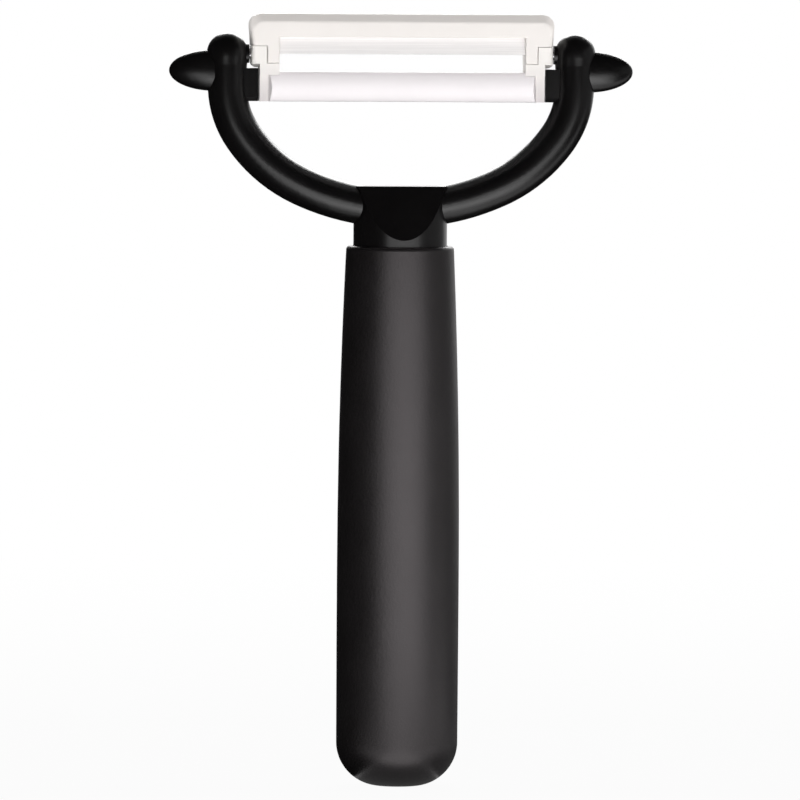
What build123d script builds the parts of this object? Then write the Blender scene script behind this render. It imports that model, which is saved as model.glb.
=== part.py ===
from build123d import *
from math import asin, cos, degrees, radians, sin, sqrt, tan
import os

# Vegetable peeler with a Y-shaped fork and a swivelling blade head, in millimetres.
# The origin is the centre of the flat butt, +Z runs up the grip to the blade, +X along the
# blade, and the front of the peeler faces -Y.

os.makedirs("parts", exist_ok=True)

# Grip sleeve
butt_flat_radius = 3.0
butt_round_radius = 7.9
grip_belly_radius = 10.95
grip_belly_height = 40.0
grip_rim_radius = 9.65
grip_height = 97.05
rim_rounding = 0.75
butt_wall = 12.0

# Neck and tang of the fork, and how they sit in the sleeve
neck_radius = 8.4
neck_rise = 10.75
neck_depth_in_grip = 12.0
neck_gap = 0.12
tang_radius = 6.2
tang_core_radius = 3.0
tang_rib_width = 2.4
tang_length = 42.0
tang_gap = 0.06
tang_chamfer = 0.4
saddle_thickness = 6.8
saddle_cap = 0.55
scoop_drop = 9.55

# Arms of the fork
arm_radius = 3.5
arm_root_depth = 9.2
arm_half_span = 31.25
arm_drop = 22.1
arm_base_turn = 25.0
arm_middle_turn = 30.0
arm_middle_radius_share = 0.836
pivot_rise = 5.55
ball_radius = 3.7
ball_blend = 25.0

# Eye removers, one on each arm
remover_drop = 3.05
remover_root = 2.4
remover_length = 8.05
remover_half_height = 3.68
remover_thickness_share = 0.74

# Pivot bosses, bores and pins
boss_radius = 1.72
boss_proud = 0.15
pin_radius = 0.95
pin_running_gap = 0.05
pin_reach = 2.7
pin_root = 2.2
pin_chamfer = 0.2
bore_end_gap = 0.45

# Stop blocks on the inner sides of the arms
block_step = 1.55
block_height = 5.9
block_drop = 2.6
block_depth = 4.0
block_chamfer = 0.75

# Swivelling head: side play, and the stop facets under its ears
side_play = 0.3
leg_side_gap = 0.25
stop_gap = 0.15
stop_facet_angle = 15.0

# Blade guard, the upper front cover of the head
head_front = 3.2
head_back = 2.8
guard_rise = 3.05
guard_beam_height = 4.1
guard_corner_radius = 2.1
guard_slope_depth = 1.4
guard_crown_slope = 1.4
guard_side_slope = 0.3
guard_edge_radius = 0.7
guard_back_radius = 0.6
guard_taper = 0.25
guard_roof = 1.3
guard_lip_radius = 0.25
tongue_width = 2.2
tongue_drop = 1.65
ear_rise = 1.35
ear_corner_radius = 1.0
ear_edge_radius = 0.8
seam_gap = 0.1
tongue_proud = 0.3

# Ceramic blade
blade_thickness = 1.0
blade_width = 6.0
blade_lap = 1.2
blade_lean = 14.0
blade_recess = 0.9
blade_bevel = 0.95
blade_gap = 0.04
stake_radius = 0.8
stake_gap = 0.1
stake_spacing = 28.0
stake_length = 1.0
stake_root = 0.5
stake_rise = 4.6

# Blade carrier, the back frame of the head, and its legs
leg_width = 3.5
leg_back = 2.4
strip_rise = 1.5
strip_slant_share = 0.5

# Guide bar between the legs
slot_height = 3.2
bar_height = 5.3
bar_lap = 1.85
bar_bulge_front = 3.55
bar_top_front = 2.3
bar_foot_front = 2.5
bar_back = 2.2
bar_crest_back = 0.6
bar_back_drop = 1.8
bar_seat_depth = 1.4
bar_edge_radius = 0.5
bar_end_lean = 20.0
bar_gap = 0.04
flange_front = 2.3
flange_recess_height = 4.7

# Overrun for cuts
overrun = 20.0

# Heights along the handle
saddle_height = grip_height + neck_rise
neck_seat_height = grip_height - neck_depth_in_grip
arm_base_height = saddle_height - saddle_cap - arm_radius
pivot_height = arm_base_height + arm_drop + pivot_rise
remover_height = pivot_height - remover_drop
block_top = pivot_height - block_drop

# Places across the handle
boss_face = arm_half_span - ball_radius - boss_proud
block_face = boss_face - block_step
ear_face = boss_face - side_play
leg_face = block_face - leg_side_gap
window_half = leg_face - leg_width
seam_place = window_half + tongue_width
blade_half = window_half + blade_lap
bar_half = window_half + bar_lap
guard_face = ear_face + guard_taper

# Heights in the head
head_top = pivot_height + guard_rise + guard_beam_height
guard_step = pivot_height + guard_rise
ear_top = pivot_height + ear_rise
tongue_end = pivot_height - tongue_drop
bar_top = pivot_height - slot_height
head_bottom = bar_top - bar_height
recess_top = head_bottom + flange_recess_height
leg_front = head_front - tongue_proud
stop_radius = block_drop - stop_gap

# Working planes of the blade: its front and back faces
blade_face = Plane(
    origin=(0, blade_recess - head_front, pivot_height),
    x_dir=(1, 0, 0),
    z_dir=(0, -cos(radians(blade_lean)), sin(radians(blade_lean))),
)
blade_back = blade_face.offset(-blade_thickness)
pocket_top = (head_top - guard_roof - pivot_height) / cos(radians(blade_lean))


# Grip sleeve: a turned shell with a closed butt, and a bore for the neck and the tang.
neck_bore_radius = neck_radius + neck_gap
tang_bore_radius = tang_radius + tang_gap
with BuildPart() as grip_sleeve:
    with BuildSketch(Plane.XZ):
        with BuildLine():
            foot = Line((0, 0), (butt_flat_radius, 0))
            butt = JernArc(foot @ 1, (1, 0), butt_round_radius, 90)
            belly = (grip_belly_radius, grip_belly_height)
            TangentArc(belly, butt @ 1, tangent=(0, -1))
            flank = TangentArc(belly, (grip_rim_radius, grip_height), tangent=(0, 1))
            Polyline(
                flank @ 1,
                (neck_bore_radius, grip_height),
                (neck_bore_radius, neck_seat_height),
                (tang_bore_radius, neck_seat_height),
                (tang_bore_radius, butt_wall),
                (0, butt_wall),
                (0, 0),
            )
        make_face()
    revolve(axis=Axis.Z)
    rim_edges = grip_sleeve.edges().filter_by(GeomType.CIRCLE).group_by(Axis.Z)[-1]
    fillet(rim_edges.sort_by(SortBy.RADIUS)[-1], rim_rounding)
grip_sleeve.part.label = "grip_sleeve"
export_step(grip_sleeve.part, "parts/grip_sleeve.step")


# Eye remover: half an ellipsoid, thinner from front to back than it is high.
with BuildPart() as eye_remover:
    with BuildSketch(Plane.XZ):
        with BuildLine():
            EllipticalCenterArc((0, 0), remover_length, remover_half_height, arc_size=90)
            Polyline((0, remover_half_height), (0, 0), (remover_length, 0))
        make_face()
    revolve(axis=Axis.X)
    scale(by=(1, remover_thickness_share, 1))


# Ball at the top of each arm, with a hollow blend down to the arm's own radius.
blend_drop = sqrt((ball_radius + ball_blend) ** 2 - (arm_radius + ball_blend) ** 2)
ball_foot_angle = degrees(asin(blend_drop / (ball_radius + ball_blend)))
with BuildPart() as arm_ball:
    with BuildSketch(Plane.XZ):
        with BuildLine():
            crown = CenterArc((0, 0), ball_radius, 90, -90 - ball_foot_angle)
            blend = TangentArc(crown @ 1, (arm_radius, -blend_drop), tangent=crown % 1)
            Polyline(blend @ 1, (0, -blend_drop), (0, ball_radius))
        make_face()
    revolve(axis=Axis.Z)


# Fork: neck with a ribbed tang below, two round arms, and all that the arms carry.
# The arms follow an oval of tangent arcs. Its end radii are solved from the span and drop.
first_turn = radians(90 - arm_base_turn - arm_middle_turn)
second_turn = radians(90 - arm_base_turn)
middle_radius = arm_middle_radius_share * arm_half_span
span_left = arm_half_span - middle_radius * (cos(first_turn) - cos(second_turn))
drop_left = arm_drop - middle_radius * (sin(second_turn) - sin(first_turn))
span_rates = (1 - cos(first_turn), cos(second_turn))
drop_rates = (sin(first_turn), 1 - sin(second_turn))
oval_rate = span_rates[0] * drop_rates[1] - span_rates[1] * drop_rates[0]
side_radius = (span_left * drop_rates[1] - drop_left * span_rates[1]) / oval_rate
base_radius = (drop_left * span_rates[0] - span_left * drop_rates[0]) / oval_rate

saddle_half = saddle_thickness / 2
scoop_foot = saddle_height - scoop_drop
with BuildPart() as fork:
    with BuildSketch(Plane.XY.offset(neck_seat_height)):
        Circle(neck_radius)
    extrude(amount=saddle_height - neck_seat_height)
    with BuildSketch(Plane.YZ):
        with BuildLine():
            Polyline(
                (-saddle_half, saddle_height),
                (-neck_radius, scoop_foot),
                (-neck_radius - overrun, scoop_foot),
                (-neck_radius - overrun, saddle_height + overrun),
                (-saddle_half, saddle_height + overrun),
                (-saddle_half, saddle_height),
            )
        make_face()
        mirror(about=Plane.YZ)
    extrude(amount=neck_radius + overrun, both=True, mode=Mode.SUBTRACT)

    with BuildSketch(Plane.XY.offset(neck_seat_height)):
        Circle(tang_core_radius)
        Rectangle(tang_radius * 2, tang_rib_width)
        Rectangle(tang_rib_width, tang_radius * 2)
        Circle(tang_radius, mode=Mode.INTERSECT)
    extrude(amount=-tang_length)
    tang_end = fork.faces().sort_by(Axis.Z)[0]
    chamfer(tang_end.edges(), tang_chamfer)

    with BuildLine(Plane.XZ):
        base = JernArc((0, arm_base_height), (1, 0), base_radius, arm_base_turn)
        middle = JernArc(base @ 1, base % 1, middle_radius, arm_middle_turn)
        side = JernArc(middle @ 1, middle % 1, side_radius, 90 - arm_base_turn - arm_middle_turn)
        arm_end = Line(side @ 1, (arm_half_span, pivot_height))
    with BuildSketch(Plane.YZ):
        with Locations((0, arm_base_height)):
            Ellipse(arm_root_depth / 2, arm_radius)
    with BuildSketch(Plane(origin=arm_end @ 1, z_dir=arm_end % 1)):
        Circle(arm_radius)
    sweep(multisection=True)

    with Locations((arm_half_span, 0, pivot_height)):
        add(arm_ball.part)
    with BuildSketch(Plane.YZ.offset(boss_face)):
        with Locations((0, pivot_height)):
            Circle(boss_radius)
    extrude(amount=arm_half_span - boss_face)
    with Locations((arm_half_span + remover_root, 0, remover_height)):
        add(eye_remover.part)
    with BuildSketch(Plane.YZ.offset(block_face)):
        with Locations((0, block_top - block_height / 2)):
            Rectangle(block_depth, block_height)
        chamfer(
            vertices().group_by(Axis.Z)[0].sort_by(Axis.Y)[0],
            block_chamfer,
        )
    extrude(amount=arm_half_span - block_face)

    with BuildSketch(Plane.YZ.offset(boss_face)):
        with Locations((0, pivot_height)):
            Circle(pin_radius + pin_running_gap)
    extrude(amount=pin_reach + bore_end_gap, mode=Mode.SUBTRACT)
    split(bisect_by=Plane.YZ)
    mirror(about=Plane.YZ)
fork.part.label = "fork"
export_step(fork.part, "parts/fork.step")
print("arm radii", round(base_radius, 2), round(middle_radius, 2), round(side_radius, 2))


# Ceramic blade: a leaning plate, ground from behind to an edge that faces the grip.
with BuildPart() as ceramic_blade:
    with BuildSketch(blade_face):
        with Locations((0, blade_width / 2)):
            Rectangle(blade_half * 2, blade_width)
    extrude(amount=-blade_thickness)
    back_edge = ceramic_blade.edges().filter_by(Axis.X).group_by(Axis.Z)[0].sort_by(Axis.Y)[-1]
    grind = blade_thickness - blade_gap
    chamfer(back_edge, blade_bevel, grind, reference=ceramic_blade.faces().sort_by(Axis.Z)[0])
    with BuildSketch(Plane.XZ):
        with Locations((0, pivot_height + stake_rise)):
            with GridLocations(stake_spacing, 0, 2, 1):
                Circle(stake_radius + stake_gap)
    extrude(amount=overrun, both=True, mode=Mode.SUBTRACT)
ceramic_blade.part.label = "ceramic_blade"
export_step(ceramic_blade.part, "parts/ceramic_blade.step")


# Blade guard: the front cover, with a roof over the blade and a tongue down each cheek. Its top
# and sides slope in towards the front face.
stake_height = pivot_height + stake_rise
stake_tip = head_front - blade_recess - stake_rise * tan(radians(blade_lean)) + stake_length


def guard_outline(front, crown_slope, side_slope):
    with BuildSketch(Plane.XZ.offset(front)) as outline:
        with BuildLine():
            crown_end = (guard_face - side_slope - guard_corner_radius, head_top - crown_slope)
            crown = Line((0, head_top - crown_slope), crown_end)
            shoulder = JernArc(crown @ 1, (1, 0), guard_corner_radius, -90)
            Polyline(
                shoulder @ 1,
                (ear_face - side_slope, ear_top + seam_gap),
                (seam_place, ear_top + seam_gap),
                (seam_place, tongue_end),
                (window_half, tongue_end),
                (window_half, guard_step),
                (0, guard_step),
                (0, head_top - crown_slope),
            )
        make_face()
        mirror(about=Plane.YZ)
    return outline.sketch


slope_foot = guard_outline(head_front - guard_slope_depth, 0, 0)
with BuildPart() as blade_guard:
    extrude(slope_foot, amount=guard_slope_depth - head_front - head_back)
    back_edges = blade_guard.faces().sort_by(Axis.Y)[-1].edges()
    fillet(
        back_edges.filter_by(GeomType.CIRCLE) + [back_edges.sort_by(Axis.Z)[-1]],
        guard_back_radius,
    )
    loft([slope_foot, guard_outline(head_front, guard_crown_slope, guard_side_slope)], ruled=True)
    front_edges = blade_guard.faces().sort_by(Axis.Y)[0].edges()
    crown_edge = front_edges.sort_by(Axis.Z)[-1]
    outer_edges = front_edges.filter_by(lambda edge: abs(edge.center().X) > seam_place)
    seam_edges = front_edges.filter_by_position(Axis.Z, ear_top, ear_top + seam_gap * 2)
    fillet([crown_edge] + [edge for edge in outer_edges if edge not in seam_edges], guard_edge_radius)
    front_edges = blade_guard.faces().sort_by(Axis.Y)[0].edges()
    fillet(
        front_edges.filter_by(lambda edge: abs(edge.center().X) <= seam_place).filter_by_position(
            Axis.Z, tongue_end, guard_step
        ),
        guard_lip_radius,
    )
    with BuildSketch(blade_back):
        with Locations((0, pocket_top)):
            Rectangle(seam_place * 2, overrun, align=(Align.CENTER, Align.MAX))
    extrude(amount=-overrun, mode=Mode.SUBTRACT)
    with BuildSketch(blade_face):
        with Locations((0, -blade_gap)):
            Rectangle(
                (blade_half + blade_gap) * 2,
                pocket_top + blade_gap,
                align=(Align.CENTER, Align.MIN),
            )
    extrude(amount=-blade_thickness - blade_gap, mode=Mode.SUBTRACT)
    with BuildSketch(Plane.XZ.offset(stake_tip + stake_gap)):
        with Locations((0, stake_height)):
            with GridLocations(stake_spacing, 0, 2, 1):
                Circle(stake_radius + stake_gap)
    extrude(amount=-stake_length - blade_thickness, mode=Mode.SUBTRACT)
blade_guard.part.label = "blade_guard"
export_step(blade_guard.part, "parts/blade_guard.step")


# Blade carrier: legs and ears, joined by a strip behind the blade. Outside the legs, each ear
# ends below in a round nose and two facets, which meet the fork's stop blocks.
nose_low = pivot_height - stop_radius
facet_lean = radians(stop_facet_angle)
nose_turn = (stop_radius * sin(facet_lean), pivot_height - stop_radius * cos(facet_lean))
front_facet_rise = (leg_front + overrun - nose_turn[0]) * tan(facet_lean)
strip_foot = pivot_height + strip_rise
strip_depth = head_back + head_front - blade_recess - blade_thickness
with BuildPart() as blade_carrier:
    with BuildSketch(Plane.XZ.offset(leg_front)):
        with BuildLine():
            nose = Polyline(
                (window_half, ear_top),
                (window_half, head_bottom),
                (leg_face, head_bottom),
                (leg_face, nose_low),
                (ear_face - ear_corner_radius, nose_low),
            )
            cheek = JernArc(nose @ 1, (1, 0), ear_corner_radius, 90)
            Polyline(cheek @ 1, (ear_face, ear_top), (window_half, ear_top))
        make_face()
        mirror(about=Plane.YZ)
    extrude(amount=-leg_front - leg_back)
    front_edges = blade_carrier.edges().group_by(Axis.Y)[0]
    ear_edges = front_edges.filter_by_position(Axis.Z, nose_low, ear_top, inclusive=(False, False))
    outer_edges = ear_edges.filter_by(lambda edge: abs(edge.center().X) > leg_face)
    fillet(outer_edges, ear_edge_radius)
    for side in (-1, 1):
        with BuildSketch(Plane.YZ.offset(side * leg_face)):
            with BuildLine():
                ThreePointArc((-nose_turn[0], nose_turn[1]), (0, nose_low), nose_turn)
                Polyline(
                    nose_turn,
                    (leg_front + overrun, nose_turn[1] + front_facet_rise),
                    (leg_front + overrun, nose_low - overrun),
                    (-leg_front - overrun, nose_low - overrun),
                    (-leg_front - overrun, nose_turn[1] + front_facet_rise),
                    (-nose_turn[0], nose_turn[1]),
                )
            make_face()
        extrude(amount=side * overrun, mode=Mode.SUBTRACT)
    with BuildSketch(Plane.XZ.offset(leg_front)):
        with Locations((0, tongue_end - seam_gap)):
            Rectangle((seam_place + seam_gap) * 2, overrun, align=(Align.CENTER, Align.MIN))
    extrude(amount=-overrun, mode=Mode.SUBTRACT)
    with BuildSketch(blade_back):
        with Locations((0, -slot_height)):
            Rectangle(
                (seam_place - seam_gap) * 2,
                slot_height + pocket_top - blade_gap,
                align=(Align.CENTER, Align.MIN),
            )
            Rectangle(
                leg_face * 2,
                slot_height + ear_rise,
                align=(Align.CENTER, Align.MIN),
            )
    extrude(amount=-strip_depth)
    with BuildSketch(Plane.YZ):
        with BuildLine():
            Polyline(
                (-overrun, strip_foot),
                (-overrun, strip_foot - overrun),
                (head_back + overrun, strip_foot - overrun),
                (head_back + overrun, strip_foot + overrun * strip_slant_share),
                (0, strip_foot),
                (-overrun, strip_foot),
            )
        make_face()
    extrude(amount=window_half, both=True, mode=Mode.SUBTRACT)
    split(bisect_by=Plane.XZ.offset(-head_back), keep=Keep.TOP)

    with BuildSketch(Plane.XZ.offset(flange_front)):
        with Locations((0, head_bottom)):
            Rectangle((leg_face + overrun) * 2, flange_recess_height * 2)
    extrude(amount=overrun, mode=Mode.SUBTRACT)
    with BuildSketch(Plane.XZ.offset(bar_seat_depth)):
        with Locations((0, recess_top)):
            Rectangle((bar_half + bar_gap) * 2, overrun, align=(Align.CENTER, Align.MAX))
    extrude(amount=overrun, mode=Mode.SUBTRACT)
    with BuildSketch(Plane.XZ.offset(stake_tip)):
        with Locations((0, stake_height)):
            with GridLocations(stake_spacing, 0, 2, 1):
                Circle(stake_radius)
    extrude(amount=-stake_tip - stake_root)
    for side in (-1, 1):
        with BuildSketch(Plane.YZ.offset(side * (ear_face - pin_root))):
            with Locations((0, pivot_height)):
                Circle(pin_radius)
        extrude(amount=side * overrun, mode=Mode.SUBTRACT)
blade_carrier.part.label = "blade_carrier"
export_step(blade_carrier.part, "parts/blade_carrier.step")


# Guide bar: a bulging bar that rests on the food. Below its shoulders it laps over the fronts of
# both legs, with ends that lean in towards the front.
bar_lean_run = overrun * tan(radians(bar_end_lean))
with BuildPart() as guide_bar:
    with BuildSketch(Plane.YZ):
        with BuildLine():
            ThreePointArc(
                (-bar_top_front, bar_top),
                (-bar_bulge_front, bar_top - bar_height / 2),
                (-bar_foot_front, head_bottom),
            )
            Polyline(
                (-bar_foot_front, head_bottom),
                (bar_back, head_bottom),
                (bar_back, bar_top - bar_back_drop),
                (bar_crest_back, bar_top),
                (-bar_top_front, bar_top),
            )
        make_face()
        fillet(vertices(), bar_edge_radius)
    extrude(amount=bar_half, both=True)
    with BuildSketch(Plane.XZ.offset(bar_seat_depth)):
        with Locations((0, bar_top)):
            Rectangle(overrun * 4, overrun)
            Rectangle((window_half - bar_gap) * 2, overrun, mode=Mode.SUBTRACT)
    extrude(amount=-overrun, mode=Mode.SUBTRACT)
    with BuildSketch(Plane.XZ):
        with Locations((0, recess_top - bar_gap)):
            Rectangle(overrun * 4, overrun, align=(Align.CENTER, Align.MIN))
            Rectangle(
                (window_half - bar_gap) * 2,
                overrun,
                align=(Align.CENTER, Align.MIN),
                mode=Mode.SUBTRACT,
            )
    extrude(amount=overrun, both=True, mode=Mode.SUBTRACT)
    with BuildSketch(Plane.XY.offset(head_bottom)):
        with BuildLine():
            Polyline(
                (bar_half, -flange_front),
                (bar_half + overrun, -flange_front),
                (bar_half + overrun, -flange_front - overrun),
                (bar_half - bar_lean_run, -flange_front - overrun),
                (bar_half, -flange_front),
            )
        make_face()
        mirror(about=Plane.YZ)
    extrude(amount=overrun, mode=Mode.SUBTRACT)
guide_bar.part.label = "guide_bar"
export_step(guide_bar.part, "parts/guide_bar.step")


# Pivot pins: pressed into the ears, running in the bosses of the fork.
for name, side in (("pivot_pin_left", -1), ("pivot_pin_right", 1)):
    pin_root_place = (side * (ear_face - pin_root), 0, pivot_height)
    with BuildPart() as pivot_pin:
        with BuildSketch(Plane(origin=pin_root_place, z_dir=(side, 0, 0))):
            Circle(pin_radius)
        extrude(amount=pin_root + side_play + pin_reach)
        chamfer(pivot_pin.edges(), pin_chamfer)
    pivot_pin.part.label = name
    export_step(pivot_pin.part, "parts/" + name + ".step")
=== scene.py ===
import bpy
import math
from mathutils import Matrix, Vector


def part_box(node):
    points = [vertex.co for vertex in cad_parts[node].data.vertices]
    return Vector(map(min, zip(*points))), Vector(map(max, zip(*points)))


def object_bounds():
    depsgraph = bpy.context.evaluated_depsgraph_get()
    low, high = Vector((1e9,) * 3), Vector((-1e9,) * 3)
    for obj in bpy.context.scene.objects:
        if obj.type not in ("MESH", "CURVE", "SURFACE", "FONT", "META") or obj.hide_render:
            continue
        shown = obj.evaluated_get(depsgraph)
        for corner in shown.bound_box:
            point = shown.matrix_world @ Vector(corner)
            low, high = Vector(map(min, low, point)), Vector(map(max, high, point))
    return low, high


# Looks of a black Y-shaped vegetable peeler with a white blade head. Lengths are in metres.

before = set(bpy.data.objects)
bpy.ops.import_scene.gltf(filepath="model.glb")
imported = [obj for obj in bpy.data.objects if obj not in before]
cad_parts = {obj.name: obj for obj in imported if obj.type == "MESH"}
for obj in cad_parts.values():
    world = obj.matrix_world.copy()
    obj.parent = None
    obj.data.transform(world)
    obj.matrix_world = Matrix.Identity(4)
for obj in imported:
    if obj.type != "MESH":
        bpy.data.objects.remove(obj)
cad_low, cad_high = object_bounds()
object_height = cad_high.z - cad_low.z

scene = bpy.context.scene
scene.view_settings.view_transform = "Standard"

MM = 0.001
WHITE_STRENGTH = 1.0
RIGHTWARD = (1, 0, 0)
LEFTWARD = (-1, 0, 0)
BACKWARD = (0, 1, 0)
UPWARD = (0, 0, 1)
DOWNWARD = (0, 0, -1)


# Camera: a long lens in front of the peeler, a little to its left and above its middle.
FRAME_PIXELS = 800
MIDDLE_PIXEL = FRAME_PIXELS / 2
OBJECT_PIXELS = 772
OBJECT_MIDDLE_PIXEL = (399.0, 400.4)
CAMERA_DISTANCE = 2.0
CAMERA_AZIMUTH = -5.0
CAMERA_ELEVATION = 3.0
CAMERA_ROLL = 0.4
SENSOR_WIDTH = 36.0
CLIP_START = 0.01


def make_camera():
    metres_per_pixel = object_height / OBJECT_PIXELS
    target = Vector((
        (MIDDLE_PIXEL - OBJECT_MIDDLE_PIXEL[0]) * metres_per_pixel,
        0,
        (cad_low.z + cad_high.z) / 2 - (MIDDLE_PIXEL - OBJECT_MIDDLE_PIXEL[1]) * metres_per_pixel,
    ))
    data = bpy.data.cameras.new("camera")
    data.sensor_width = SENSOR_WIDTH
    data.lens = SENSOR_WIDTH * CAMERA_DISTANCE / (FRAME_PIXELS * metres_per_pixel)
    data.clip_start = CLIP_START
    camera = bpy.data.objects.new("camera", data)
    scene.collection.objects.link(camera)
    azimuth, elevation = math.radians(CAMERA_AZIMUTH), math.radians(CAMERA_ELEVATION)
    back = Vector((
        math.sin(azimuth) * math.cos(elevation),
        -math.cos(azimuth) * math.cos(elevation),
        math.sin(elevation),
    ))
    look = (-back).to_track_quat("-Z", "Y").to_matrix().to_4x4()
    roll = Matrix.Rotation(math.radians(CAMERA_ROLL), 4, "Z")
    camera.matrix_world = Matrix.Translation(target + back * CAMERA_DISTANCE) @ look @ roll
    scene.camera = camera


# Lights. Soft panels light the surfaces evenly and don't show in gloss. Gloss panels show in
# gloss alone: they draw the bright bands on the black plastic. A high panel behind the peeler
# lights its back and top. A panel that faces no given way is aimed at the peeler's middle.
SOFT_PANELS = {
    "front_panel": {"place": (0.04, -0.7, 0.09), "size": (0.8, 0.17), "power": 5.1},
    "left_panel": {"place": (-0.9, 0.2, 0.2), "size": (0.4, 0.4), "power": 4.0},
    "right_panel": {"place": (0.9, 0.2, 0.2), "size": (0.4, 0.4), "power": 4.0},
}
GLOSS_PANELS = {
    "arm_panel": {
        "place": (0.036, -0.195, 0.003), "faces": UPWARD, "size": (0.17, 0.26), "power": 0.32,
    },
    "grip_panel": {
        "place": (0.011, -0.1, 0.061), "faces": BACKWARD, "size": (0.174, 0.094), "power": 0.078,
    },
    "rim_panel": {
        "place": (0.011, -0.099, 0.094), "faces": BACKWARD, "size": (0.174, 0.026), "power": 0.01,
    },
    "foot_panel": {
        "place": (0.01, -0.0385, 0.002), "faces": UPWARD, "size": (0.1, 0.053), "power": 0.013,
    },
}
BACK_PANEL = {"place": (0.1, 0.75, 0.55), "size": (0.8, 0.5), "power": 7.0}


def area_light(name, place, size, power, faces=None):
    data = bpy.data.lights.new(name, "AREA")
    data.shape = "RECTANGLE"
    data.size, data.size_y = size
    data.energy = power
    lamp = bpy.data.objects.new(name, data)
    lamp.location = place
    direction = Vector(faces) if faces else Vector((0, 0, object_height / 2)) - Vector(place)
    lamp.rotation_euler = direction.to_track_quat("-Z", "Y").to_euler()
    lamp.visible_camera = False
    scene.collection.objects.link(lamp)
    return lamp


def make_lights():
    for name, panel in SOFT_PANELS.items():
        area_light(name, **panel).visible_glossy = False
    for name, panel in GLOSS_PANELS.items():
        area_light(name, **panel).visible_diffuse = False
    area_light("back_panel", **BACK_PANEL)


# White surroundings: the camera, gloss and glass see white, and other rays meet dim light.
DIM_STRENGTH = 0.08


def seen_directly(nodes, links):
    path = nodes.new("ShaderNodeLightPath")
    total = path.outputs["Is Camera Ray"]
    for kind in ("Is Glossy Ray", "Is Transmission Ray"):
        either = nodes.new("ShaderNodeMath")
        either.operation = "MAXIMUM"
        links.new(total, either.inputs[0])
        links.new(path.outputs[kind], either.inputs[1])
        total = either.outputs[0]
    return total


def make_world():
    world = bpy.data.worlds.new("world")
    world.use_nodes = True
    nodes, links = world.node_tree.nodes, world.node_tree.links
    nodes.clear()
    out = nodes.new("ShaderNodeOutputWorld")
    surroundings = nodes.new("ShaderNodeMixShader")
    links.new(seen_directly(nodes, links), surroundings.inputs["Fac"])
    for slot, strength in ((1, DIM_STRENGTH), (2, WHITE_STRENGTH)):
        light = nodes.new("ShaderNodeBackground")
        light.inputs["Color"].default_value = (1, 1, 1, 1)
        light.inputs["Strength"].default_value = strength
        links.new(light.outputs[0], surroundings.inputs[slot])
    links.new(surroundings.outputs[0], out.inputs["Surface"])
    scene.world = world


# Cards that show in gloss alone. The dark ones give the black plastic its contrast, and the shelf
# keeps the grip panel out of the arms' gloss. The grey ones soften the grip's right side and butt.
DARK_TONE = 0.01
CARD_LIFT = 1 * MM
BUTT_LIFT = 0.2 * MM
CARDS = {
    "left_card": {"place": (-0.14, 0.35, 0.25), "faces": RIGHTWARD, "size": (1.2, 0.5)},
    "front_card": {"place": (0, -0.7, 0.5), "faces": BACKWARD, "size": (1.6, 1.0)},
    "top_card": {"place": (0, -0.1, 0.32), "faces": DOWNWARD, "size": (0.7, 0.7)},
    "low_left_card": {"place": (-0.408, 0, CARD_LIFT), "faces": UPWARD, "size": (0.8, 1.6)},
    "low_back_card": {"place": (0.392, 0.415, CARD_LIFT), "faces": UPWARD, "size": (0.8, 0.8)},
    "low_front_card": {"place": (0.392, -0.46, CARD_LIFT), "faces": UPWARD, "size": (0.8, 0.8)},
    "shelf_card": {"place": (0, -0.067, 0.1085), "faces": UPWARD, "size": (0.062, 0.07)},
    "right_card": {
        "place": (0.5, 0, 0.4), "faces": LEFTWARD, "size": (0.8, 1.4), "tone": 0.25,
    },
    "foot_card": {
        "place": (0.022, -0.022, CARD_LIFT), "faces": UPWARD, "size": (0.028, 0.074), "tone": 0.16,
    },
    "butt_card": {
        "place": (0, 0.001, BUTT_LIFT), "faces": UPWARD, "size": (0.016, 0.028), "tone": 0.24,
    },
}


def card(name, place, faces, size, tone=DARK_TONE):
    x, y = size[0] / 2, size[1] / 2
    mesh = bpy.data.meshes.new(name)
    mesh.from_pydata([(-x, -y, 0), (x, -y, 0), (x, y, 0), (-x, y, 0)], [], [(0, 1, 2, 3)])
    piece = bpy.data.objects.new(name, mesh)
    piece.location = place
    piece.rotation_euler = Vector(faces).to_track_quat("Z", "Y").to_euler()
    piece.visible_camera = False
    piece.visible_diffuse = False
    piece.visible_shadow = False
    scene.collection.objects.link(piece)
    material = bpy.data.materials.new(name)
    material.use_nodes = True
    nodes, links = material.node_tree.nodes, material.node_tree.links
    nodes.clear()
    out = nodes.new("ShaderNodeOutputMaterial")
    glow = nodes.new("ShaderNodeEmission")
    glow.inputs["Strength"].default_value = tone
    links.new(glow.outputs[0], out.inputs["Surface"])
    mesh.materials.append(material)


def make_cards():
    for name, values in CARDS.items():
        card(name, **values)


# Floor: pale and plain. It shows white, a little less so near the peeler, where it keeps a faint
# shadow.
FLOOR_SIZE = 8.0
FLOOR_COLOUR = (0.45, 0.45, 0.45, 1)
FLOOR_WHITE_NEAR = 0.95
FADE_START = 0.15
FADE_END = 0.6


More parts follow.
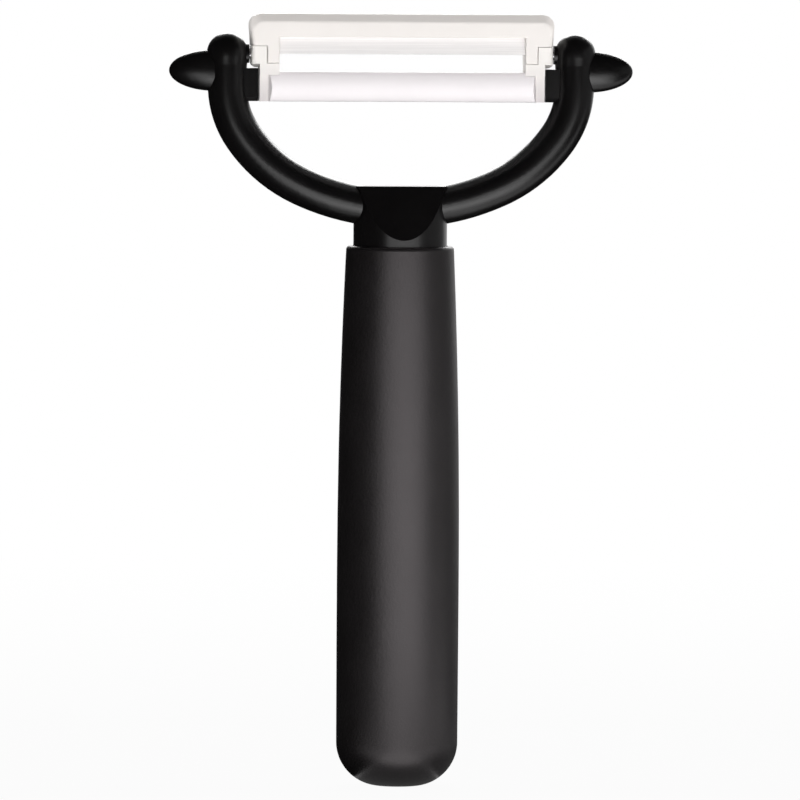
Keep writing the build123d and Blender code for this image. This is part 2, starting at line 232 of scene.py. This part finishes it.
def make_floor():
    bpy.ops.mesh.primitive_plane_add(size=FLOOR_SIZE, location=(0, 0, cad_low.z))
    floor = bpy.context.object
    floor.name = "floor"
    material = bpy.data.materials.new("floor_white")
    material.use_nodes = True
    nodes, links = material.node_tree.nodes, material.node_tree.links
    nodes.clear()
    out = nodes.new("ShaderNodeOutputMaterial")
    matt = nodes.new("ShaderNodeBsdfDiffuse")
    matt.inputs["Color"].default_value = FLOOR_COLOUR
    white = nodes.new("ShaderNodeEmission")
    white.inputs["Strength"].default_value = WHITE_STRENGTH
    place = nodes.new("ShaderNodeTexCoord")
    distance = nodes.new("ShaderNodeVectorMath")
    distance.operation = "LENGTH"
    links.new(place.outputs["Object"], distance.inputs[0])
    whiteness = ramp(
        material, distance.outputs["Value"], FLOOR_WHITE_NEAR, 1.0, start=FADE_START, end=FADE_END,
    )
    share = nodes.new("ShaderNodeMath")
    share.operation = "MULTIPLY"
    links.new(seen_directly(nodes, links), share.inputs[0])
    links.new(whiteness, share.inputs[1])
    both = nodes.new("ShaderNodeMixShader")
    links.new(share.outputs[0], both.inputs["Fac"])
    links.new(matt.outputs[0], both.inputs[1])
    links.new(white.outputs[0], both.inputs[2])
    links.new(both.outputs[0], out.inputs["Surface"])
    floor.data.materials.append(material)


# Materials. Each one has its own function, and these helpers make the nodes that they share.
# Noise keeps close to its middle value, so a ramp spreads the part between these two.
NOISE_LOW = 0.3
NOISE_HIGH = 0.7


def plain_material(name, colour, roughness, **sockets):
    material = bpy.data.materials.new(name)
    material.use_nodes = True
    shader = material.node_tree.nodes["Principled BSDF"]
    shader.inputs["Base Color"].default_value = (*colour, 1)
    shader.inputs["Roughness"].default_value = roughness
    for socket, value in sockets.items():
        shader.inputs[socket.replace("_", " ")].default_value = value
    return material, shader


def noise(material, scale, detail=2.0, roughness=0.5, stretch=(1, 1, 1)):
    nodes, links = material.node_tree.nodes, material.node_tree.links
    place = nodes.new("ShaderNodeTexCoord")
    mapping = nodes.new("ShaderNodeMapping")
    mapping.inputs["Scale"].default_value = stretch
    texture = nodes.new("ShaderNodeTexNoise")
    texture.inputs["Scale"].default_value = scale
    texture.inputs["Detail"].default_value = detail
    texture.inputs["Roughness"].default_value = roughness
    links.new(place.outputs["Object"], mapping.inputs["Vector"])
    links.new(mapping.outputs["Vector"], texture.inputs["Vector"])
    return texture.outputs["Fac"]


def ramp(material, source, low, high, start=NOISE_LOW, end=NOISE_HIGH):
    nodes, links = material.node_tree.nodes, material.node_tree.links
    spread = nodes.new("ShaderNodeMapRange")
    spread.inputs["From Min"].default_value = start
    spread.inputs["From Max"].default_value = end
    spread.inputs["To Min"].default_value = low
    spread.inputs["To Max"].default_value = high
    links.new(source, spread.inputs["Value"])
    return spread.outputs["Result"]


def share_of_height(material, bottom, top):
    nodes, links = material.node_tree.nodes, material.node_tree.links
    place = nodes.new("ShaderNodeTexCoord")
    split = nodes.new("ShaderNodeSeparateXYZ")
    links.new(place.outputs["Object"], split.inputs[0])
    return ramp(material, split.outputs["Z"], 0, 1, start=bottom, end=top)


def mix_colours(material, shader, share, colour_a, colour_b):
    nodes, links = material.node_tree.nodes, material.node_tree.links
    mix = nodes.new("ShaderNodeMix")
    mix.data_type = "RGBA"
    mix.inputs["A"].default_value = (*colour_a, 1)
    mix.inputs["B"].default_value = (*colour_b, 1)
    links.new(share, mix.inputs["Factor"])
    links.new(mix.outputs["Result"], shader.inputs["Base Color"])


def vary_colour(material, shader, source, change):
    colour = shader.inputs["Base Color"].default_value[:3]
    dark = [channel - change for channel in colour]
    light = [channel + change for channel in colour]
    mix_colours(material, shader, ramp(material, source, 0, 1), dark, light)


def vary_roughness(material, shader, source, change):
    roughness = shader.inputs["Roughness"].default_value
    uneven = ramp(material, source, roughness - change, roughness + change)
    material.node_tree.links.new(uneven, shader.inputs["Roughness"])


def bump(material, shader, height, depth):
    nodes, links = material.node_tree.nodes, material.node_tree.links
    relief = nodes.new("ShaderNodeBump")
    relief.inputs["Distance"].default_value = depth
    links.new(height, relief.inputs["Height"])
    links.new(relief.outputs["Normal"], shader.inputs["Normal"])


# Grip: black satin plastic with a very fine grain and a faint warm sheen.
def grip_plastic():
    material, shader = plain_material(
        "grip_black", colour=(0.0035, 0.003, 0.00315), roughness=0.46,
        Specular_IOR_Level=0.7, Specular_Tint=(1.0, 0.93, 0.95, 1),
    )
    cloud = noise(material, scale=90.0, detail=3.0)
    grain = noise(material, scale=2200.0, detail=3.0, roughness=0.6)
    vary_colour(material, shader, cloud, change=0.0005)
    vary_roughness(material, shader, cloud, change=0.03)
    bump(material, shader, grain, depth=0.03 * MM)
    return material


# Fork: the same black, smoother.
def fork_plastic():
    material, shader = plain_material(
        "fork_black", colour=(0.0028, 0.00245, 0.0026), roughness=0.3, Specular_IOR_Level=0.42,
    )
    cloud = noise(material, scale=120.0, detail=3.0)
    grain = noise(material, scale=2600.0, detail=3.0, roughness=0.6)
    vary_colour(material, shader, cloud, change=0.0004)
    vary_roughness(material, shader, cloud, change=0.02)
    bump(material, shader, grain, depth=0.01 * MM)
    return material


# Blade guard: warm white plastic, smooth, with faint clouds.
def guard_plastic():
    material, shader = plain_material("guard_white", colour=(0.86, 0.82, 0.79), roughness=0.38)
    cloud = noise(material, scale=160.0)
    vary_colour(material, shader, cloud, change=0.01)
    vary_roughness(material, shader, cloud, change=0.04)
    bump(material, shader, noise(material, scale=2500.0), depth=0.004 * MM)
    return material


# Guide bar: a slightly cooler white than the guard, a little less glossy.
def bar_plastic():
    material, shader = plain_material("bar_white", colour=(0.88, 0.84, 0.855), roughness=0.45)
    cloud = noise(material, scale=140.0)
    vary_colour(material, shader, cloud, change=0.01)
    vary_roughness(material, shader, cloud, change=0.03)
    bump(material, shader, noise(material, scale=2500.0), depth=0.003 * MM)
    return material


# Blade carrier: white like the guard at the ears, with painted shade down its thin recessed legs,
# greyer towards the bottom.
def carrier_plastic():
    ear_white = (0.86, 0.83, 0.80)
    leg_painted_shade = (0.63, 0.59, 0.59)
    low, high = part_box("blade_carrier")
    ear_bottom = (low.z + high.z) / 2
    material, shader = plain_material("carrier_white", colour=ear_white, roughness=0.38)
    # Painted shade: grey at the carrier's bottom blends to white at its middle height, standing in
    # for shade on the recessed legs.
    mix_colours(material, shader, share_of_height(material, low.z, ear_bottom), leg_painted_shade, ear_white)
    vary_roughness(material, shader, noise(material, scale=160.0), change=0.04)
    bump(material, shader, noise(material, scale=2500.0), depth=0.004 * MM)
    return material


# Blade: white ceramic, ground along its length.
def blade_ceramic():
    material, shader = plain_material("blade_ceramic", colour=(0.815, 0.795, 0.79), roughness=0.26)
    grind = noise(material, scale=1.0, stretch=(40.0, 3000.0, 3000.0))
    vary_colour(material, shader, grind, change=0.015)
    vary_roughness(material, shader, grind, change=0.06)
    bump(material, shader, grind, depth=0.002 * MM)
    return material


# Pins: plain steel with a fine turned finish.
def pin_metal():
    material, shader = plain_material(
        "pin_steel", colour=(0.72, 0.70, 0.73), roughness=0.3, Metallic=1.0,
    )
    cloud = noise(material, scale=1800.0)
    vary_roughness(material, shader, cloud, change=0.06)
    bump(material, shader, cloud, depth=0.003 * MM)
    return material


def dress(material, *nodes):
    for node in nodes:
        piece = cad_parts[node]
        piece.data.materials.clear()
        piece.data.materials.append(material)


make_camera()
make_lights()
make_world()
make_cards()
make_floor()

dress(grip_plastic(), "grip_sleeve")
dress(fork_plastic(), "fork")
dress(guard_plastic(), "blade_guard")
dress(bar_plastic(), "guide_bar")
dress(carrier_plastic(), "blade_carrier")
dress(blade_ceramic(), "ceramic_blade")
dress(pin_metal(), "pivot_pin_left", "pivot_pin_right")
